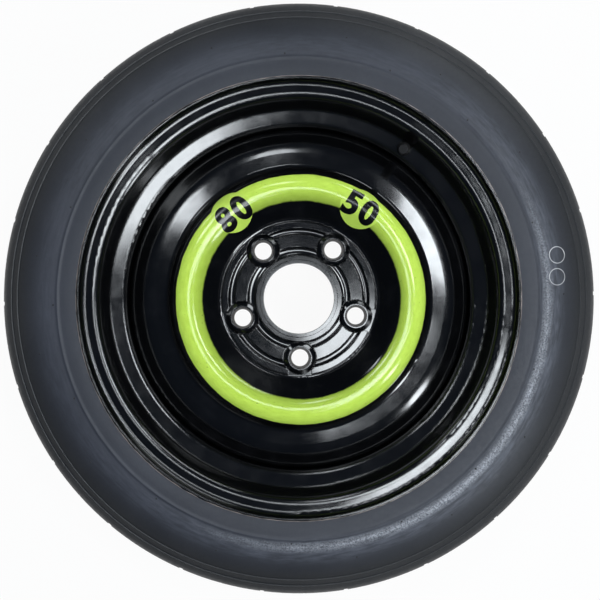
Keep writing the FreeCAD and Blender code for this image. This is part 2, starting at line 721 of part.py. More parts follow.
def make_core(valve_seat):
    """The valve core: plug, sealing ring, sleeve, pin, cup, washer and return spring."""
    pin = "pin_diameter / 2"
    plug_radius = "stem_bore / 2 - core_clearance"
    plug = valve_piece("core_plug", box_outline(PIN_HOLE, plug_radius, PLUG_FOOT, PLUG_TOP), valve_seat)
    flat = box_outline("plug_head / 2", "stem_bore", f"{PLUG_TOP} - plug_head_length", f"{PLUG_TOP} + plug_head_length")
    other = [corner(f"-({c['across']})", c["up"]) for c in flat]
    pocket(plug, "plug_flats", [flat, other], "2 * stem_bore")
    ring_bore = f"{SLEEVE_BORE} + core_clearance"
    gasket = valve_piece("core_gasket", [
        corner(ring_bore, GASKET_FOOT),
        corner("stem_throat / 2 - core_clearance", GASKET_FOOT),
        corner("stem_bore / 2 - core_clearance", f"{PLUG_FOOT} - core_clearance"),
        corner(ring_bore, f"{PLUG_FOOT} - core_clearance"),
    ], valve_seat)
    ledge = f"{SLEEVE_FOOT} + sleeve_wall"
    sleeve = valve_piece("core_sleeve", [
        corner(PIN_HOLE, SLEEVE_FOOT),
        corner(SLEEVE_RADIUS, SLEEVE_FOOT),
        corner(SLEEVE_RADIUS, SLEEVE_TOP),
        corner(SLEEVE_BORE, SLEEVE_TOP),
        corner(SLEEVE_BORE, ledge),
        corner(PIN_HOLE, ledge),
    ], valve_seat)
    cup_foot = f"({CUP_RIM} - cup_height)"
    cup_floor = f"({CUP_RIM} - cup_height + cup_wall)"
    stop = f"{SLEEVE_BORE} - pin_slide"
    rod = valve_piece("core_pin", [
        corner("0", f"{cup_floor} + core_clearance"),
        corner(pin, f"{cup_floor} + core_clearance"),
        corner(pin, f"{PIN_STOP_TOP} - pin_stop"),
        corner(stop, f"{PIN_STOP_TOP} - pin_stop"),
        corner(stop, PIN_STOP_TOP),
        corner(pin, PIN_STOP_TOP),
        corner(pin, "stem_length - pin_sunk"),
        corner("0", "stem_length - pin_sunk"),
    ], valve_seat)
    cup = valve_piece("core_cup", [
        corner("0", cup_foot),
        corner("cup_diameter / 2", cup_foot),
        corner("cup_diameter / 2", CUP_RIM),
        corner("cup_diameter / 2 - cup_wall", CUP_RIM),
        corner("cup_diameter / 2 - cup_wall", cup_floor),
        corner("0", cup_floor),
    ], valve_seat)
    washer = valve_piece("core_washer", box_outline(
        f"{pin} + core_clearance", "cup_diameter / 2 - cup_wall - core_clearance",
        f"{cup_floor} + core_clearance", WASHER_TOP), valve_seat)
    return [plug, gasket, sleeve, rod, cup, washer, make_spring(valve_seat)]


def make_spring(valve_seat):
    """Coil between the sleeve's ledge and the pin's stop."""
    body = new_body("core_spring")
    wire = body.newObject("Sketcher::SketchObject", "spring_wire_outline")
    wire.AttachmentSupport = [(plane_of(body, "XZ_Plane"), "")]
    wire.MapMode = "FlatFace"
    coil_radius = f"(pin_diameter / 2 + {SLEEVE_BORE}) / 2"
    add_circle(wire, coil_radius, f"{SPRING_FOOT} + spring_wire / 2", "spring_wire / 2")
    coil = body.newObject("PartDesign::AdditiveHelix", "spring_coil")
    coil.Profile = wire
    coil.ReferenceAxis = (plane_of(body, "Z_Axis"), [""])
    coil.Mode = "height-turns-angle"
    bind(coil, "Height", f"{SPRING_TOP} - {SPRING_FOOT} - spring_wire")
    bind(coil, "Turns", "spring_turns")
    doc.recompute()
    bind(body, "Placement", f"{valve_seat.Name}.Placement")
    doc.recompute()
    return body


def add_circle(sketch, across, up, radius):
    centre = Vector(value(across), value(up), 0)
    circle = sketch.addGeometry(Part.Circle(centre, Z_AXIS, value(radius)))
    sizes = [("Radius", radius, (circle,)),
             ("DistanceX", across, (-1, 1, circle, 3)),
             ("DistanceY", up, (-1, 1, circle, 3))]
    for kind, formula, numbers in sizes:
        index = sketch.addConstraint(Sketcher.Constraint(kind, *numbers, value(formula)))
        bind(sketch, f"Constraints[{index}]", formula)
    doc.recompute()


def pocket(body, name, outlines, width_formula, role="XZ_Plane"):
    """Cut outlines through a body, half the width to each side of their plane."""
    cut = body.newObject("PartDesign::Pocket", name)
    cut.Profile = body_sketch(body, f"{name}_outline", outlines, role)
    cut.Type = "Length"
    cut.Midplane = True
    bind(cut, "Length", width_formula)
    doc.recompute()
    return cut


def write(pieces):
    """Check every object and write one file for each piece."""
    for item in doc.Objects:
        if "Invalid" in item.State or "Error" in item.State:
            raise RuntimeError(f"{item.Name} did not compute: {item.State}")
    os.makedirs("parts", exist_ok=True)
    for piece in pieces:
        if piece.Shape.isNull() or not piece.Shape.isValid():
            raise RuntimeError(f"{piece.Label} has no valid shape")
        piece.Shape.exportStep(f"parts/{piece.Label}.step")
        print(f"{piece.Label}: {len(piece.Shape.Solids)} solid, {piece.Shape.Volume:.1f} mm3")


def main():
    valve_seat = make_valve_seat()
    disc_sheet_line, disc_ring = sheet_ring("disc", disc_line(), "-disc_gauge")
    skin = label_skin(disc_sheet_line)
    seal_low = "stem_length + cap_clearance"
    pieces = [
        make_tyre(),
        make_rim(valve_seat),
        make_disc(disc_ring),
        make_welds(),
        make_label("speed_label_left", skin, "label_left_angle"),
        make_label("speed_label_right", skin, "label_right_angle"),
        valve_piece("valve_rubber", rubber_outline(), valve_seat),
        valve_piece("valve_stem", stem_outline(), valve_seat),
        make_cap(valve_seat),
        valve_piece("cap_seal", box_outline("0", "stem_thread / 2", seal_low, f"{seal_low} + seal_thickness"),
                    valve_seat),
    ]
    pieces += make_core(valve_seat)
    write(pieces)


main()
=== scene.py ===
import math

import bmesh
import bpy
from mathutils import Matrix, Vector


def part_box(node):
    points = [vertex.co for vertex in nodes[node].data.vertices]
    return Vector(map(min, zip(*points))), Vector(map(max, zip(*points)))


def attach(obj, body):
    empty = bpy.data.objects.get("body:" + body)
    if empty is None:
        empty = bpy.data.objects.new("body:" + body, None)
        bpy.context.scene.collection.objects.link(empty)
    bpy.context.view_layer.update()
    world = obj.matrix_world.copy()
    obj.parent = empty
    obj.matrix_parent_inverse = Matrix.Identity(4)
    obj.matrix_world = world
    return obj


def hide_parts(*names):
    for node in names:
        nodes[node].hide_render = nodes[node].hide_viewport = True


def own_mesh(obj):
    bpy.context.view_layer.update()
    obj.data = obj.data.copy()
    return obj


# Looks of a temporary-use spare wheel that lies face up; the camera looks straight down on it.
# Metres throughout, in the CAD frame: the wheel's axis is Z and the street side is up.

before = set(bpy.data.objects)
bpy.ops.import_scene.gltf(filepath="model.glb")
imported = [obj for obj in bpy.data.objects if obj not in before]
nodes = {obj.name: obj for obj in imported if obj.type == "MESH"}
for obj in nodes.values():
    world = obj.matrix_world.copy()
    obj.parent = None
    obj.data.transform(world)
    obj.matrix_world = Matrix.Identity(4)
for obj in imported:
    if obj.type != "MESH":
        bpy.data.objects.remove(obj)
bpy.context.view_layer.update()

MM = 0.001
WHEEL = "wheel"
tyre_low, tyre_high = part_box("tyre")
TYRE_RADIUS = tyre_high.x
TYRE_HALF = tyre_high.z

# Tyre section, as in the CAD model.
BEAD_RADIUS = 190.25 * MM
BEAD_WIDTH = 16 * MM
BEAD_BEND = 4 * MM
FLANGE_PLANE = 50.65 * MM
LIP_RADIUS = 206.15 * MM
LIP_HEIGHT = 60 * MM
LIP_BEND = 7 * MM
BULGE_RADIUS = 228 * MM
UPPER_RADIUS = TYRE_RADIUS - 28.5 * MM
UPPER_HEIGHT = TYRE_HALF - 8.5 * MM
SHOULDER_RADIUS = TYRE_RADIUS - 9.5 * MM
SHOULDER_HEIGHT = 43 * MM
SHOULDER_BEND = 20 * MM
TREAD_RADIUS = TYRE_RADIUS - 3.7 * MM
TREAD_HALF = 30.5 * MM
GROOVE_WIDTH = 4.6 * MM
GROOVE_DEPTH = 3.2 * MM
GROOVE_PITCH = 16.5 * MM
NOTCH_REACH = 3 * MM
NOTCH_TOP = 45 * MM
TREAD_PITCHES = 22
WALL = 0.12 * MM

# Inside of the tyre: radius and height at the bead, side and shoulder, and the radius under the tread.
LINING_BEAD = (BEAD_RADIUS + 9 * MM, 37.6 * MM)
LINING_SIDE = (BULGE_RADIUS, TYRE_HALF - 7.5 * MM)
LINING_SHOULDER = (TYRE_RADIUS - 20 * MM, 36.5 * MM)
LINING_CROWN = TYRE_RADIUS - 13 * MM

# Thin ribs moulded round the sidewall: radius, width, height.
SIDE_RIBS = [(222.6 * MM, 2.6 * MM, 0.5 * MM),
             (263.5 * MM, 1.5 * MM, 0.7 * MM),
             (271.2 * MM, 1.5 * MM, 0.7 * MM)]

# Floor under the rib nearest to the bulge: its height, half its width and its share of white.
FLOOR_Z = tyre_low.z - SIDE_RIBS[0][2]
FLOOR_HALF = 30.0
FLOOR_WHITE = 0.94

# Cuts in each tread pitch: place in the pitch, width, from and to this height, depth below the crown.
TREAD_CUTS = [(0.0, 3.6 * MM, TREAD_HALF - NOTCH_REACH, NOTCH_TOP, 9.5 * MM),
              (0.5, 1.8 * MM, TREAD_HALF - NOTCH_REACH, NOTCH_TOP, 7.5 * MM),
              (0.25, 0.7 * MM, 0.0, 22.5 * MM, 2.6 * MM),
              (0.75, 0.7 * MM, 0.0, 22.5 * MM, 2.6 * MM)]

# Stubs left by the mould's vents, in two rows by turns.
VENT_COUNT = 26
VENT_RADII = (245 * MM, 226 * MM)
VENT_SIZE = 1.6 * MM
VENT_HEIGHT = 0.35 * MM
VENT_ROOT = -0.1 * MM
VENT_STEPS = 4
VENT_JITTER = 0.35

# Zones of the sidewall's colour, by radius, and the directions in degrees of its dusty side, where the dust
# is stronger as painted light, and of its painted highlight.
INNER_ZONE = (217 * MM, 225 * MM)
TREAD_ZONE = (233 * MM, 261 * MM)
DUST_ZONE = (224 * MM, 243 * MM)
DUST_AND_LIGHT_SIDE = -40
SHEEN_ZONE = (226.5 * MM, 232.5 * MM)
SHEEN_SIDE = -45

# Faded ink rings stamped on the sidewall: place of each middle.
INK_RINGS = [(239.0 * MM, 36.0 * MM), (238.6 * MM, 15.8 * MM)]
INK_RING_RADIUS = 7.6 * MM
INK_RING_WIDTH = 0.7 * MM

# Crest ring of the disc, as in the CAD model: corners as radius, height, bend.
HUB_FRONT = 37 * MM
CREST_LINE = [(70 * MM, HUB_FRONT, 0), (76 * MM, HUB_FRONT, 4 * MM), (98 * MM, 57.5 * MM, 16 * MM),
              (117 * MM, 57.5 * MM, 16 * MM), (126 * MM, 28 * MM, 0)]
PAINT_INNER = 92.8 * MM
PAINT_OUTER = 117.3 * MM
LABEL_TOP = 0.25 * MM
LIP_LINE_RADIUS = 205.65 * MM

# How far the black paint rounds off edges and facets.
RIM_FLOW = 2.5 * MM
DISC_FLOW = 0.8 * MM

# The lime band was sprayed a little off centre.
PAINT_CENTRE = (2.4 * MM, -1.3 * MM)

# Shallow channels between the raised parts of the hub face: middle radius, half width.
HUB_CHANNELS = [(45.7 * MM, 3.2 * MM), (64.3 * MM, 2.6 * MM)]
CHANNEL_DEPTH = 0.55 * MM
BOLT_COUNT = 5
BOLT_CIRCLE = 57.15 * MM
FIRST_BOLT = -90
BOSS_RADIUS = 14.5 * MM

# Numerals: text, direction and radius of their middle, direction of the text's upright.
NUMERALS = [("80", 126.6, 99.0 * MM, 127.5), ("50", 54.5, 102.2 * MM, 56.5)]
NUMERAL_SIZE = 31 * MM
NUMERAL_FATTENING = 1.5 * MM
NUMERAL_STRETCH = (0.97, 1.05, 1)
NUMERAL_SPACING = 1.2
NUMERAL_TILE = 1 * MM
TILE_COUNT = 18
INK_LIFT = 0.06 * MM

# Edges sharper than this stay crisp.
SHARP_ANGLE = math.radians(35)

# Soft lamps: their colour and their distance from the wheel's centre.
LAMP_COLOUR = (0.9, 0.955, 1.0)
LAMP_DISTANCE = 2.2

# The photo's camera: half the picture and the focal length in pixels, then its place and turn.
PICTURE_HALF = 300
FOCAL_LENGTH = 607
CAMERA_PLACE = (1.1 * MM, -1.5 * MM, 621 * MM)
CAMERA_TURN = math.radians(-1.0)


def rounded_line(corners, step=1.0 * MM):
    """Points along a line through (radius, height, bend) corners, with each bend as an arc."""
    points = []
    for index, (radius, height, bend) in enumerate(corners):
        here = Vector((radius, height))
        if not bend:
            points.append(here)
            continue
        back = (Vector(corners[index - 1][:2]) - here).normalized()
        ahead = (Vector(corners[index + 1][:2]) - here).normalized()
        half = back.angle(ahead) / 2
        centre = here + (back + ahead).normalized() * (bend / math.sin(half))
        arm = here + back * (bend / math.tan(half)) - centre
        sweep = math.copysign(math.pi - 2 * half, back.y * ahead.x - back.x * ahead.y)
        count = max(3, round(abs(sweep) * bend / step))
        points += [centre + turned(arm, sweep * i / count) for i in range(count + 1)]
    return points


def turned(arm, angle):
    """A flat vector turned by an angle."""
    cos, sin = math.cos(angle), math.sin(angle)
    return Vector((arm.x * cos - arm.y * sin, arm.x * sin + arm.y * cos))


def arc_line(first, via, last, step=1.5 * MM):
    """Points of the circular arc through three points, both ends included."""
    a, b, c = (Vector(p) for p in (first, via, last))
    squares = (a.length_squared, b.length_squared, c.length_squared)
    area = 2 * (a.x * (b.y - c.y) + b.x * (c.y - a.y) + c.x * (a.y - b.y))
    x = (squares[0] * (b.y - c.y) + squares[1] * (c.y - a.y) + squares[2] * (a.y - b.y)) / area
    y = (squares[0] * (c.x - b.x) + squares[1] * (a.x - c.x) + squares[2] * (b.x - a.x)) / area
    centre = Vector((x, y))
    arm = a - centre
    sweep = math.remainder(math.atan2(c.y - y, c.x - x) - math.atan2(arm.y, arm.x), 2 * math.pi)
    count = max(4, round(abs(sweep) * arm.length / step))
    return [centre + turned(arm, sweep * i / count) for i in range(count + 1)]


def sample(line, radius):
    """Height and outward direction of a line at a radius; the line's radius only grows."""
    for first, second in zip(line, line[1:]):
        if radius <= second.x + 1e-9:
            share = (radius - first.x) / (second.x - first.x)
            along = (second - first).normalized()
            return first.y + share * (second.y - first.y), Vector((-along.y, along.x))
    raise ValueError("the radius lies outside the line")


def add_piece(name, mesh, material):
    """A mesh piece with smooth faces and crisp edges that rides on the wheel."""
    mesh.validate()
    mesh.shade_smooth()
    mesh.set_sharp_from_angle(angle=SHARP_ANGLE)
    mesh.materials.append(material)
    piece = bpy.data.objects.new(name, mesh)
    bpy.context.collection.objects.link(piece)
    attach(piece, WHEEL)
    return piece


class Paint:
    """A material under construction: short calls that add and join shader nodes."""

    def __init__(self, name, **settings):
        self.material = bpy.data.materials.new(name)
        self.material.use_nodes = True
        self.tree = self.material.node_tree
        self.shader = self.tree.nodes["Principled BSDF"]
        self.set(self.shader, **settings)
        self.coordinates = self.add("ShaderNodeTexCoord")
        self.place = self.coordinates.outputs["Object"]

    def set(self, node, **settings):
        """Set sockets by name, with underscores for spaces."""
        for key, number in settings.items():
            node.inputs[key.replace("_", " ")].default_value = number

    def add(self, kind, **settings):
        """A new node, with its properties set."""
        node = self.tree.nodes.new(kind)
        for key, number in settings.items():
            setattr(node, key, number)
        return node

    def join(self, source, target):
        """Link an output to an input."""
        self.tree.links.new(source, target)

    def feed(self, name, source):
        """Join a value to a socket of the main shader."""
        self.join(source, self.shader.inputs[name])

    def math(self, operation, first, second=None):
        """One step of arithmetic on values that are numbers or sockets."""
        node = self.add("ShaderNodeMath", operation=operation)
        for socket, item in zip(node.inputs, (first, second)):
            if isinstance(item, (int, float)):
                socket.default_value = item
            elif item is not None:
                self.join(item, socket)
        return node.outputs[0]

    def times(self, *factors):
        """The product of all the factors."""
        answer = factors[0]
        for factor in factors[1:]:
            answer = self.math("MULTIPLY", answer, factor)
        return answer

    def parts(self, vector):
        """The x, y and z of a vector."""
        node = self.add("ShaderNodeSeparateXYZ")
        self.join(vector, node.inputs[0])
        return node.outputs

    def noise(self, scale, detail=4, roughness=0.55, vector=None):
        """Cloudy noise from 0 to 1 in the piece's own place, or in a given one."""
        node = self.add("ShaderNodeTexNoise")
        self.set(node, Scale=scale, Detail=detail, Roughness=roughness)
        self.join(vector or self.place, node.inputs["Vector"])
        return node.outputs["Fac"]

    def span(self, source, low, high, start=0.0, end=1.0):
        """Map low..high of a value to start..end, clamped."""
        node = self.add("ShaderNodeMapRange")
        self.set(node, From_Min=low, From_Max=high, To_Min=start, To_Max=end)
        self.join(source, node.inputs["Value"])
        return node.outputs["Result"]

    def mix(self, factor, first, second):
        """A colour between two colours, each a tuple or a socket."""
        node = self.add("ShaderNodeMix", data_type="RGBA")
        for socket, item in zip((node.inputs[0], node.inputs[6], node.inputs[7]), (factor, first, second)):
            if isinstance(item, float):
                socket.default_value = item
            elif isinstance(item, tuple):
                socket.default_value = (*item, 1)
            else:
                self.join(item, socket)
        return node.outputs[2]

    def bump(self, height, distance, strength):
        """Add relief on top of any relief the material has already."""
        node = self.add("ShaderNodeBump")
        self.set(node, Distance=distance, Strength=strength)
        self.join(height, node.inputs["Height"])
        for link in self.shader.inputs["Normal"].links:
            self.join(link.from_socket, node.inputs["Normal"])
        self.feed("Normal", node.outputs["Normal"])

    def radius(self, x=0.0, y=0.0):
        """Distance from the wheel's axis, or from a line along it through x, y."""
        parts = self.parts(self.place)
        across = self.math("SUBTRACT", parts[0], x)
        up = self.math("SUBTRACT", parts[1], y)
        return self.math("SQRT", self.math("ADD", self.times(across, across), self.times(up, up)))

    def toward(self, degrees):
        """1 on the ray from the axis in a direction, falling to -1 on the opposite side."""
        parts = self.parts(self.place)
        across = self.times(parts[0], math.cos(math.radians(degrees)))
        up = self.times(parts[1], math.sin(math.radians(degrees)))
        return self.math("DIVIDE", self.math("ADD", across, up), self.radius())

    def ring_streaks(self, length, width, detail=4):
        """Noise drawn out round the wheel: its grain is coarse along the ring and fine across it."""
        parts = self.parts(self.place)
        radius = self.radius()
        joined = self.add("ShaderNodeCombineXYZ")
        self.join(self.times(self.math("DIVIDE", parts[0], radius), length), joined.inputs[0])
        self.join(self.times(self.math("DIVIDE", parts[1], radius), length), joined.inputs[1])
        self.join(self.times(radius, width), joined.inputs[2])
        return self.noise(1.0, detail, 0.6, joined.outputs[0])

    def window(self, source, low, high, soft):
        """1 between low and high, with soft edges."""
        rise = self.span(source, low - soft, low + soft)
        fall = self.span(source, high - soft, high + soft, 1, 0)
        return self.times(rise, fall)


def gloss_black(name, flow):
    """Black stoving paint: deep gloss, fine orange peel, a little dust; it rounds off edges and facets."""
    paint = Paint(name, IOR=1.7)
    rounded = paint.add("ShaderNodeBevel", samples=6)
    paint.set(rounded, Radius=flow)
    paint.feed("Normal", rounded.outputs["Normal"])
    dust = paint.span(paint.noise(38, 6, 0.65), 0.5, 0.8)
    paint.colour = paint.mix(dust, (0.0016, 0.0017, 0.002), (0.006, 0.006, 0.007))
    paint.feed("Roughness", paint.span(paint.noise(60, 5), 0.35, 0.75, 0.1, 0.17))
    paint.bump(paint.noise(300, 2), 0.02 * MM, 0.05)
    return paint


def rim_paint():
    """The rim's black paint, with a pale tan line along the top of the lip."""
    paint = gloss_black("rim_paint", RIM_FLOW)
    edge = paint.math("ADD", paint.radius(), paint.span(paint.noise(70, 5), 0.3, 0.7, -0.4 * MM, 0.4 * MM))
    # a pale tan line round the lip's top edge
    pale_lip = paint.span(edge, LIP_LINE_RADIUS - 0.15 * MM, LIP_LINE_RADIUS + 0.15 * MM)
    top = paint.span(paint.parts(paint.place)[2], LIP_HEIGHT, LIP_HEIGHT + 0.6 * MM)
    paint.feed("Base Color", paint.mix(paint.times(pale_lip, top), paint.colour, (0.5, 0.42, 0.38)))
    return paint.material


def disc_paint():
    """The disc's black paint with the lime band on the crest ring, chipped in places and darkened toward its
    inner edge by thinner paint and painted shade.
    """
    paint = gloss_black("disc_paint", DISC_FLOW)
    wobble = paint.span(paint.noise(90, 3), 0.3, 0.7, -0.3 * MM, 0.3 * MM)
    edge = paint.math("ADD", paint.radius(*PAINT_CENTRE), wobble)
    inside = paint.span(edge, PAINT_INNER - 0.4 * MM, PAINT_INNER + 0.9 * MM)
    outside = paint.span(edge, PAINT_OUTER - 0.2 * MM, PAINT_OUTER + 0.2 * MM, 1, 0)
    street = paint.span(paint.parts(paint.coordinates.outputs["Normal"])[2], 0.02, 0.1)
    chips = paint.span(paint.ring_streaks(55, 700, 5), 0.68, 0.71, 1, 0)
    band = paint.times(inside, outside, street, chips)
    streaks = paint.span(paint.ring_streaks(12, 300), 0.3, 0.7)
    lime = paint.mix(streaks, (0.53, 0.75, 0.09), (0.62, 0.86, 0.12))
    # thinner paint and painted shade: the lime darkens toward the band's inner edge, on the slope turned
    # away from the lamps
    thin_and_shaded = paint.span(edge, PAINT_INNER, PAINT_INNER + 13 * MM, 0.5, 0.0)
    lime = paint.mix(thin_and_shaded, lime, (0.08, 0.12, 0.01))
    paint.feed("Base Color", paint.mix(band, paint.colour, lime))
    paint.feed("Specular IOR Level", paint.span(band, 0, 1, 0.5, 0.25))
    add_channels(paint, street)
    return paint.material


def away_from_bolts(paint):
    """1 on the hub face, 0 on the round bosses of the bolt holes."""
    nearest = 1.0
    for index in range(BOLT_COUNT):
        angle = math.radians(FIRST_BOLT + index * 360 / BOLT_COUNT)
        distance = paint.radius(BOLT_CIRCLE * math.cos(angle), BOLT_CIRCLE * math.sin(angle))
        nearest = paint.math("MINIMUM", nearest, distance)
    return paint.span(nearest, BOSS_RADIUS, BOSS_RADIUS + 2 * MM)


def add_channels(paint, street):
    """Relief of the shallow channels, on the street side of the hub face and off the bosses."""
    radius = paint.radius()
    level = paint.math("SUBTRACT", 1, paint.times(street, away_from_bolts(paint)))
    for middle, half in HUB_CHANNELS:
        across = paint.math("DIVIDE", paint.math("SUBTRACT", radius, middle), half)
        hollow = paint.span(paint.times(across, across), 0, 1)
        paint.bump(paint.math("MAXIMUM", hollow, level), CHANNEL_DEPTH, 1.0)


def tyre_rubber():
    """Moulded rubber: bluish grey sidewall, darker tread, dust made stronger on one side as painted light, a
    painted highlight on the bulge and faded ink rings.
    """
    paint = Paint("tyre_rubber", IOR=1.45)
    radius = paint.radius()
    cloud = paint.noise(11, 5, 0.6)
    streak = paint.ring_streaks(14, 420, 6)
    fine = paint.noise(260, 6, 0.7)
    patches = paint.span(cloud, 0.3, 0.7)
    sidewall = paint.mix(patches, (0.028, 0.031, 0.041), (0.042, 0.046, 0.060))
    tread = paint.mix(patches, (0.014, 0.0155, 0.018), (0.023, 0.024, 0.026))
    inner = paint.mix(patches, (0.016, 0.019, 0.028), (0.025, 0.029, 0.041))
    base = paint.mix(paint.span(radius, *TREAD_ZONE), sidewall, tread)
    base = paint.mix(paint.span(radius, *INNER_ZONE, 1, 0), base, inner)
    # partly real dust, partly painted light: pale dust streaks that grow stronger toward the side the lamps
    # light
    dust_and_light_side = paint.span(paint.toward(DUST_AND_LIGHT_SIDE), -0.3, 0.9, 0.25, 1.0)
    dust = paint.times(paint.span(streak, 0.38, 0.75), dust_and_light_side, paint.window(radius, *DUST_ZONE, 5 * MM))
    base = paint.mix(paint.times(dust, 0.6), base, (0.15, 0.165, 0.20))
    # painted highlight: a pale grainy streak round the bulge, strongest on the side toward the key lamps
    grain = paint.span(paint.noise(700, 3, 0.7), 0.35, 0.62)
    painted_sheen = paint.times(paint.span(streak, 0.3, 0.6, 0.4, 1.0), grain,
                        paint.span(paint.toward(SHEEN_SIDE), 0.3, 0.95),
                        paint.window(radius, *SHEEN_ZONE, 3 * MM))
    base = paint.mix(paint.times(painted_sheen, 0.85), base, (0.5, 0.52, 0.56))
    base = add_ink_rings(paint, base)
    paint.feed("Base Color", base)
    paint.feed("Roughness", paint.span(fine, 0.3, 0.7, 0.42, 0.6))
    paint.bump(paint.noise(420, 5, 0.65), 0.2 * MM, 0.35)
    return paint.material


def add_ink_rings(paint, base):
    """The rubber's colour with thin faded rings of pale ink on the street side."""
    street = paint.span(paint.parts(paint.place)[2], 0.0, 1 * MM)
    fading = paint.span(paint.noise(90, 3), 0.35, 0.65, 0.45, 0.9)
    inner = INK_RING_RADIUS - INK_RING_WIDTH / 2
    for x, y in INK_RINGS:
        ring = paint.window(paint.radius(x, y), inner, inner + INK_RING_WIDTH, 0.2 * MM)
        base = paint.mix(paint.times(ring, fading, street), base, (0.7, 0.7, 0.7))
    return base


def plain(name, colour, spread, roughness, metallic=0.0, specular=0.5, scale=120, bump=0.05):
    """A simple finish: slight colour variation, roughness variation and fine grain."""
    paint = Paint(name, Metallic=metallic, Specular_IOR_Level=specular)
    cloud = paint.span(paint.noise(scale, 4), 0.3, 0.7)
    paint.feed("Base Color", paint.mix(cloud, tuple(c * (1 - spread) for c in colour), colour))
    paint.feed("Roughness", paint.span(cloud, 0, 1, roughness * 0.85, roughness * 1.15))
    paint.bump(paint.noise(scale * 6, 3), bump * MM, 0.4)
    return paint.material


def tyre_side_line():
    """Street-side outer line of the tyre, from the rim's lip to the tread edge."""
    upper = (UPPER_RADIUS, UPPER_HEIGHT)
    sidewall = arc_line((LIP_RADIUS, LIP_HEIGHT), (BULGE_RADIUS, TYRE_HALF), upper)
    shoulder = rounded_line([(*upper, 0), (SHOULDER_RADIUS, SHOULDER_HEIGHT, SHOULDER_BEND),
                             (TREAD_RADIUS, TREAD_HALF, 0)], 1.2 * MM)
    return sidewall + shoulder[1:]


def ribbed_side():
    """Sidewall rows from the lip out to the tread edge, with the thin moulded ribs standing on them."""
    line = tyre_side_line()
    lifts = {point.x: 0.0 for point in line}
    for middle, width, height in SIDE_RIBS:
        lifts = {radius: lift for radius, lift in lifts.items() if abs(radius - middle) > width * 0.6}
        for share, lift in ((-0.5, 0.0), (-0.2, height), (0.2, height), (0.5, 0.0)):
            lifts[middle + share * width] = lift
    points = []
    for radius, lift in sorted(lifts.items()):
        height, outward = sample(line, radius)
        points.append(Vector((radius, height)) + outward * lift)
    return points


def crown(height):
    """Radius of the tread's rounded face at a height."""
    return TYRE_RADIUS - (TYRE_RADIUS - TREAD_RADIUS) * (height / TREAD_HALF) ** 2


def tread_rows():
    """Tread rows from the street edge to the mid-plane, with square grooves."""
    stop = TREAD_HALF - NOTCH_REACH
    rows = [(crown(z), z) for z in (stop, stop - WALL, GROOVE_PITCH, 0.0)]
    for middle in (GROOVE_PITCH * 1.5, GROOVE_PITCH * 0.5):
        floor = crown(middle) - GROOVE_DEPTH
        for side in (1, -1):
            edge = middle + side * GROOVE_WIDTH / 2
            rows += [(crown(edge), edge), (floor, edge - side * WALL)]
    return [Vector(row) for row in sorted(rows, key=lambda row: -row[1])]


def tyre_section():
    """Outer rows from the street-side toe to the car-side toe, and the lining's rows back inside."""
    bead = rounded_line([(BEAD_RADIUS, FLANGE_PLANE - BEAD_WIDTH, 0), (BEAD_RADIUS, FLANGE_PLANE, BEAD_BEND),
                         (LIP_RADIUS, FLANGE_PLANE, LIP_BEND), (LIP_RADIUS, LIP_HEIGHT, 0)], 2 * MM)
    half = bead[:-1] + ribbed_side() + tread_rows()
    outer = half + [Vector((p.x, -p.y)) for p in half[-2::-1]]
    wall = arc_line(LINING_BEAD, LINING_SIDE, LINING_SHOULDER, 8 * MM)
    lining = [Vector((p.x, -p.y)) for p in wall] + [Vector((LINING_CROWN, 0))] + wall[::-1]
    return outer, lining


def pitch_columns():
    """Angles of the mesh columns in one tread pitch; every cut has a column at each edge and beside it."""
    arc = 2 * math.pi / TREAD_PITCHES
    columns = [arc * share for share in (0.125, 0.375, 0.625, 0.875)]
    for share, width, *_ in TREAD_CUTS:
        half = width / 2 / TYRE_RADIUS
        beside = half + WALL / TYRE_RADIUS
        columns += [share * arc + offset for offset in (-beside, -half, half, beside)]
    return sorted(columns)


def cut_radius(point, angle):
    """Radius of a tyre point after the notches and sipes are sunk into the tread."""
    arc = 2 * math.pi / TREAD_PITCHES
    radius = point.x
    for share, width, low, high, depth in TREAD_CUTS:
        gap = abs(math.remainder(angle - share * arc, arc)) * TYRE_RADIUS
        if gap <= width / 2 + WALL / 4 and low - WALL / 4 <= abs(point.y) <= high:
            radius = min(radius, TYRE_RADIUS - depth)
    return radius


def make_tyre(material):
    """The tyre as one closed grid of section rows and columns round the axis."""
    outer, lining = tyre_section()
    arc = 2 * math.pi / TREAD_PITCHES
    angles = [pitch * arc + column for pitch in range(TREAD_PITCHES) for column in pitch_columns()]
    vertices = []
    for point in outer:
        radii = [cut_radius(point, angle) for angle in angles]
        vertices += [(r * math.cos(a), r * math.sin(a), point.y) for r, a in zip(radii, angles)]
    for point in lining:
        vertices += [(point.x * math.cos(a), point.x * math.sin(a), point.y) for a in angles]
    rows, columns = len(outer) + len(lining), len(angles)
    faces = []
    for row in range(rows):
        near, far = row * columns, (row + 1) % rows * columns
        for column in range(columns):
            after = (column + 1) % columns
            faces.append((near + column, near + after, far + after, far + column))
    mesh = bpy.data.meshes.new("tyre_moulding")
    mesh.from_pydata(vertices, [], faces)
    tyre = add_piece("tyre_moulding", mesh, material)
    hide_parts("tyre")


def make_vents(material):
    """Small stubs left by the mould's vents: one row near the bulge and one further out."""
    line = tyre_side_line()
    marks = bmesh.new()
    for index in range(VENT_COUNT):
        angle = 2 * math.pi * (index + VENT_JITTER * math.sin(7 * index)) / VENT_COUNT
        add_vent(marks, line, angle, VENT_RADII[index % 2])
    mesh = bpy.data.meshes.new("vent_marks")
    marks.to_mesh(mesh)
    marks.free()
    add_piece("vent_marks", mesh, material)


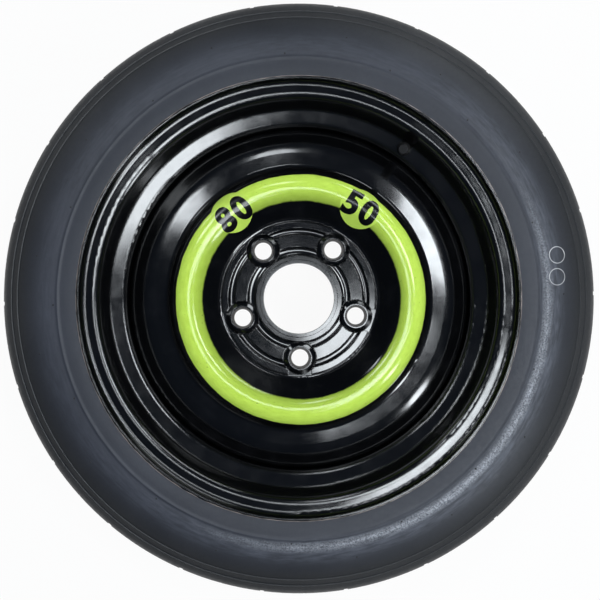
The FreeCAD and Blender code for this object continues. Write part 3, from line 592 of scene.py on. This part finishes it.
def add_vent(marks, line, angle, middle):
    """One low flat-topped stub, its sides sunk a little into the sidewall."""
    rings = []
    for index in range(VENT_STEPS + 1):
        radius = middle + VENT_SIZE * (index / VENT_STEPS - 0.5)
        level, outward = sample(line, radius)
        top = VENT_HEIGHT if 0 < index < VENT_STEPS else 0.0
        ring = []
        for share, lift in ((-0.5, VENT_ROOT), (-0.25, top), (0.25, top), (0.5, VENT_ROOT)):
            r, z = Vector((radius, level)) + outward * lift
            turn = angle + share * VENT_SIZE / radius
            ring.append(marks.verts.new((r * math.cos(turn), r * math.sin(turn), z)))
        rings.append(ring)
    for first, second in zip(rings, rings[1:]):
        for i in range(3):
            marks.faces.new((first[i], second[i], second[i + 1], first[i + 1]))


def flat_numerals(text):
    """Heavy narrow numerals, filled and flat, centred on the origin and cut into small tiles."""
    curve = bpy.data.curves.new(text, "FONT")
    curve.body = text
    curve.size = NUMERAL_SIZE
    curve.offset = NUMERAL_FATTENING
    curve.space_character = NUMERAL_SPACING
    curve.align_x = "CENTER"
    curve.align_y = "CENTER"
    holder = bpy.data.objects.new(text, curve)
    bpy.context.collection.objects.link(holder)
    mesh = bpy.data.meshes.new_from_object(holder.evaluated_get(bpy.context.evaluated_depsgraph_get()))
    bpy.data.objects.remove(holder)
    tiles = bmesh.new()
    tiles.from_mesh(mesh)
    low, high = (Vector(f(v.co[i] for v in tiles.verts) for i in range(3)) for f in (min, max))
    bmesh.ops.translate(tiles, verts=tiles.verts, vec=-(low + high) / 2)
    bmesh.ops.scale(tiles, verts=tiles.verts, vec=NUMERAL_STRETCH)
    for side in (Vector((1, 0, 0)), Vector((0, 1, 0))):
        for step in range(-TILE_COUNT, TILE_COUNT + 1):
            everything = tiles.verts[:] + tiles.edges[:] + tiles.faces[:]
            place = side * step * NUMERAL_TILE
            bmesh.ops.bisect_plane(tiles, geom=everything, plane_co=place, plane_no=side)
    return tiles, mesh


def make_numerals(text, direction, radius, upright, material):
    """Printed numerals laid on the label, following the crest's curve."""
    line = rounded_line(CREST_LINE, 0.5 * MM)
    lengths = [0.0]
    for first, second in zip(line, line[1:]):
        lengths.append(lengths[-1] + (second - first).length)
    at_label = next(length for length, point in zip(lengths, line) if point.x >= radius)
    tiles, mesh = flat_numerals(text)
    lean = math.radians(upright - direction)
    for vertex in tiles.verts:
        across, up = turned(vertex.co.xy, lean)
        reach = at_label + up
        index = max(i for i, length in enumerate(lengths[:-1]) if length <= reach)
        along = (line[index + 1] - line[index]).normalized()
        outward = Vector((-along.y, along.x))
        spot = line[index] + along * (reach - lengths[index]) + outward * (LABEL_TOP + INK_LIFT)
        turn = math.radians(direction) - across / spot.x
        vertex.co = (spot.x * math.cos(turn), spot.x * math.sin(turn), spot.y)
    tiles.to_mesh(mesh)
    tiles.free()
    name = f"numerals_{text}"
    mesh.name = name
    add_piece(name, mesh, material)


def dress_nodes():
    """A finish for every CAD node that stays."""
    brass = plain("brass", (0.72, 0.52, 0.22), 0.2, 0.3, metallic=1.0)
    seal = plain("seal_rubber", (0.02, 0.02, 0.02), 0.3, 0.6)
    film = plain("label_film", (0.6, 0.83, 0.12), 0.1, 0.18)
    finishes = {
        "rim": rim_paint(),
        "wheel_disc": disc_paint(),
        "weld_beads": plain("weld_paint", (0.012, 0.012, 0.013), 0.4, 0.45, scale=300, bump=0.2),
        "speed_label_left": film,
        "speed_label_right": film,
        "valve_rubber": plain("valve_rubber", (0.012, 0.012, 0.012), 0.3, 0.55),
        "valve_cap": plain("cap_plastic", (0.008, 0.008, 0.009), 0.3, 0.35, specular=0.2),
        "cap_seal": seal,
        "core_washer": seal,
        "core_gasket": plain("gasket_white", (0.8, 0.79, 0.75), 0.1, 0.5),
        "core_spring": plain("spring_steel", (0.6, 0.6, 0.6), 0.15, 0.3, metallic=1.0),
    }
    for node in ("valve_stem", "core_plug", "core_sleeve", "core_pin", "core_cup"):
        finishes[node] = brass
    for node, material in finishes.items():
        nodes[node].material_slots[0].material = material


def squeeze_spring():
    """Gives the return spring its own copy of its mesh."""
    spring = nodes["core_spring"]
    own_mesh(spring)


def softbox(name, azimuth, tilt, size, radiance):
    """An oval lamp that faces the wheel's centre, tilt degrees away from straight above."""
    azimuth, tilt = math.radians(azimuth), math.radians(tilt)
    level = math.sin(tilt) * LAMP_DISTANCE
    spot = Vector((level * math.cos(azimuth), level * math.sin(azimuth), math.cos(tilt) * LAMP_DISTANCE))
    lamp = bpy.data.lights.new(name, "AREA")
    lamp.shape = "ELLIPSE"
    lamp.size, lamp.size_y = size
    lamp.energy = radiance * math.pi * (math.pi / 4 * size[0] * size[1])
    lamp.color = LAMP_COLOUR
    holder = bpy.data.objects.new(name, lamp)
    holder.location = spot
    holder.rotation_euler = (-spot).to_track_quat("-Z", "Y").to_euler()
    bpy.context.collection.objects.link(holder)


def make_floor():
    """A pale floor that the camera and reflections see as white, with the wheel's shadow kept on it."""
    mesh = bpy.data.meshes.new("floor")
    corners = [(-1, -1), (1, -1), (1, 1), (-1, 1)]
    mesh.from_pydata([(x * FLOOR_HALF, y * FLOOR_HALF, FLOOR_Z) for x, y in corners], [], [(0, 1, 2, 3)])
    paint = Paint("floor", Base_Color=(0.8, 0.8, 0.8, 1), Roughness=0.9)
    rays = paint.add("ShaderNodeLightPath").outputs
    mirrored = paint.math("MAXIMUM", rays["Is Glossy Ray"], rays["Is Transmission Ray"])
    seen = paint.math("MAXIMUM", rays["Is Camera Ray"], mirrored)
    glow = paint.add("ShaderNodeEmission")
    blend = paint.add("ShaderNodeMixShader")
    paint.join(paint.times(seen, FLOOR_WHITE), blend.inputs[0])
    paint.join(paint.shader.outputs[0], blend.inputs[1])
    paint.join(glow.outputs[0], blend.inputs[2])
    paint.join(blend.outputs[0], paint.tree.nodes["Material Output"].inputs["Surface"])
    mesh.materials.append(paint.material)
    floor = bpy.data.objects.new("floor", mesh)
    bpy.context.collection.objects.link(floor)


def make_world():
    """A dim bluish studio, a little paler overhead."""
    world = bpy.data.worlds.new("studio")
    bpy.context.scene.world = world
    world.use_nodes = True
    tree = world.node_tree
    parts = tree.nodes.new("ShaderNodeSeparateXYZ")
    ramp = tree.nodes.new("ShaderNodeValToRGB")
    ramp.color_ramp.elements[0].color = (0.008, 0.0105, 0.015, 1)
    ramp.color_ramp.elements[1].color = (0.045, 0.06, 0.09, 1)
    tree.links.new(tree.nodes.new("ShaderNodeTexCoord").outputs["Generated"], parts.inputs[0])
    tree.links.new(parts.outputs[2], ramp.inputs["Fac"])
    tree.links.new(ramp.outputs["Color"], tree.nodes["Background"].inputs["Color"])


def make_lights():
    """Soft panels where the photo's paint shows their reflections: azimuth, tilt, size, radiance of each."""
    softbox("overhead_panel", 0, 0, (0.26, 0.26), 10)
    softbox("key_panel", -44, 12.4, (0.48, 0.74), 13)
    softbox("key_edge", -45, 22.0, (1.2, 0.17), 14)
    softbox("right_panel", 24, 29.5, (0.9, 0.31), 18)
    softbox("right_lower_panel", 55, 66, (1.3, 0.35), 7)
    softbox("left_panel", 140, 32, (0.42, 0.46), 12)
    softbox("left_lower_panel", 138, 65, (0.34, 0.28), 8)
    softbox("far_panel", 99, 35.5, (0.37, 0.39), 9)
    softbox("near_panel", -40, 50, (0.34, 0.78), 16)


def make_camera():
    """Straight above the hub, as far away as the photo's perspective says."""
    camera = bpy.data.cameras.new("camera")
    camera.angle = 2 * math.atan(PICTURE_HALF / FOCAL_LENGTH)
    holder = bpy.data.objects.new("camera", camera)
    holder.location = CAMERA_PLACE
    holder.rotation_euler = (0, 0, CAMERA_TURN)
    bpy.context.collection.objects.link(holder)
    bpy.context.scene.camera = holder


dress_nodes()
squeeze_spring()
make_tyre(tyre_rubber())
make_vents(plain("vent_rubber", (0.012, 0.012, 0.013), 0.3, 0.6))
ink = plain("numeral_ink", (0.003, 0.003, 0.004), 0.3, 0.2)
for numeral in NUMERALS:
    make_numerals(*numeral, ink)
make_floor()
make_world()
make_lights()
make_camera()
bpy.context.scene.view_settings.view_transform = "Standard"
